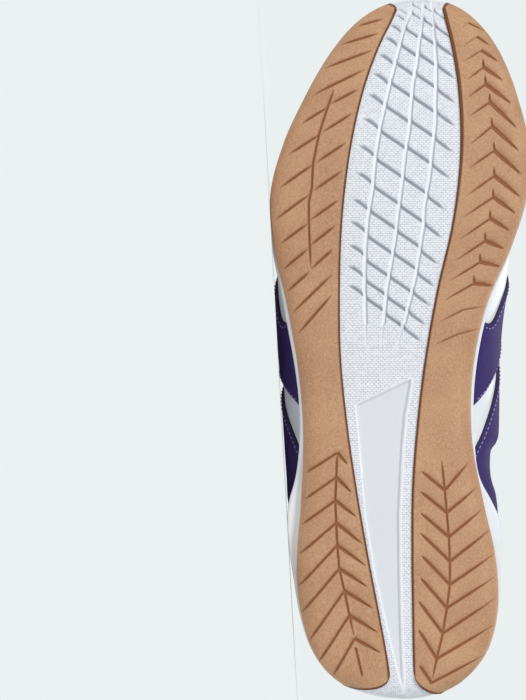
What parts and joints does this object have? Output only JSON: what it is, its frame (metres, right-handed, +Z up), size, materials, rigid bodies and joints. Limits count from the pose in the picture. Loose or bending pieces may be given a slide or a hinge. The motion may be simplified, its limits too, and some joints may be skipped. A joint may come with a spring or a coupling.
{
  "type": "indoor soccer shoe",
  "caption": "Right indoor soccer shoe lying on its side: gum rubber tread pads either side of a white ribbed strip, foam midsole, low hollow upper with laced throat.",
  "frame": {"origin": "centre of the bounding box in plan, on the floor that the shoe lies on", "axes": "+X along the sole from toe to heel, +Y from the tread up through the upper, +Z up from the lateral side, which lies on the floor, to the medial side"},
  "size_m": [0.2844, 0.106, 0.1065],
  "materials": {
    "gum_rubber": "matt moulded gum rubber",
    "white_rubber": "satin moulded white rubber",
    "white_foam": "matt moulded white foam",
    "insole_foam": "knitted cloth over foam",
    "white_leather": "satin synthetic leather",
    "purple_leather": "matt synthetic leather",
    "lace_cord": "flat woven lace"
  },
  "bodies": {
    "root": {"outsole_pad_lateral": "gum_rubber", "outsole_pad_medial": "gum_rubber", "outsole_strip": "white_rubber", "midsole": "white_foam", "insole": "insole_foam", "upper": "white_leather", "tongue": "white_leather", "eyestay": "white_leather", "toe_cap": "white_leather", "heel_counter": "white_leather", "quarter_panel_lateral": "purple_leather", "quarter_panel_medial": "purple_leather", "lace_bar_1": "lace_cord", "lace_bar_2": "lace_cord", "lace_bar_3": "lace_cord", "lace_bar_4": "lace_cord", "lace_bar_5": "lace_cord", "lace_bar_6": "lace_cord"}
  },
  "joints": []
}
